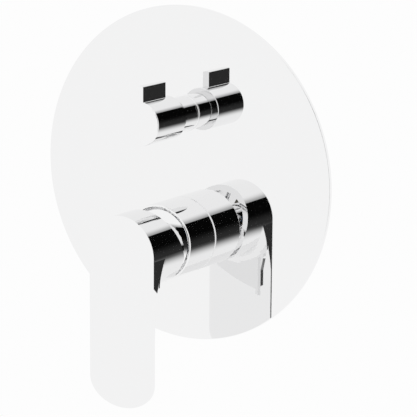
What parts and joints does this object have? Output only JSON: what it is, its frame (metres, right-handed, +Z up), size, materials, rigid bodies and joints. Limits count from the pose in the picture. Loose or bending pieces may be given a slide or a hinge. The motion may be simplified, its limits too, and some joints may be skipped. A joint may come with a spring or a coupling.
{
  "type": "concealed shower mixer",
  "caption": "Chromed round cover plate with a paddle lever and a tabbed diverter knob over a brass mixing body with ceramic valves and pipe ports.",
  "frame": {"origin": "centre of the cover plate's back face, in the plane of the finished wall", "axes": "+Y into the wall, -Y towards the user, +Z up, +X to the right as the user sees it"},
  "size_m": [0.2, 0.1164, 0.2276],
  "materials": {
    "chrome_plating": "mirror-bright chrome plating on brass",
    "cast_brass": "raw cast brass with machined faces",
    "turned_brass": "turned brass",
    "housing_plastic": "moulded acetal, off-white",
    "carrier_plastic": "moulded acetal, blue",
    "ceramic": "lapped alumina ceramic",
    "black_rubber": "nitrile rubber",
    "foam_seal": "closed-cell foam",
    "stainless": "stainless steel",
    "grey_plug": "moulded grey plastic"
  },
  "bodies": {
    "body": {"escutcheon_plate": "chrome_plating", "plate_seal": "foam_seal", "lever_sleeve": "chrome_plating", "sleeve_o_ring": "black_rubber", "dome_ring": "chrome_plating", "cartridge_nut": "turned_brass", "cartridge_housing": "housing_plastic", "cartridge_base": "housing_plastic", "base_seals": "black_rubber", "fixed_disc": "ceramic", "mixer_body": "cast_brass", "channel_plug": "turned_brass", "diverter_headwork": "turned_brass", "headwork_gasket": "black_rubber", "diverter_seat_seal": "black_rubber", "diverter_fixed_disc": "ceramic", "diverter_collar": "chrome_plating", "collar_o_ring": "black_rubber"},
    "rotor": {"disc_carrier": "carrier_plastic", "spindle_pin": "stainless"},
    "lever": {"lever_handle": "chrome_plating", "lever_screw": "stainless", "lever_screw_plug": "grey_plug", "spindle": "turned_brass"},
    "slider": {"moving_disc": "ceramic", "disc_driver": "carrier_plastic"},
    "diverter_control": {"diverter_knob": "chrome_plating", "knob_screw": "stainless", "diverter_stem": "turned_brass", "stem_circlip": "stainless", "diverter_moving_disc": "ceramic"}
  },
  "joints": [
    {"name": "lever_turn", "type": "hinge", "parent": "body", "child": "rotor", "pos_m": [0, -0.025, -0.0365], "axis": [0, -1, 0], "range_deg": [-50, 50]},
    {"name": "lever_lift", "type": "hinge", "parent": "rotor", "child": "lever", "pos_m": [0, -0.025, -0.0365], "axis": [-1, 0, 0], "range_deg": [0, 24]},
    {"name": "disc_slide", "type": "slide", "parent": "rotor", "child": "slider", "axis": [0, 0, -1], "range_m": [0, 0.00591]},
    {"name": "diverter_turn", "type": "hinge", "parent": "body", "child": "diverter_control", "pos_m": [0, -0.02, 0.0365], "axis": [0, -1, 0], "range_deg": [-90, 90]}
  ],
  "couplings": [
    {"joint": "disc_slide", "follows": "lever_lift", "m_per_rad": 0.0134}
  ]
}
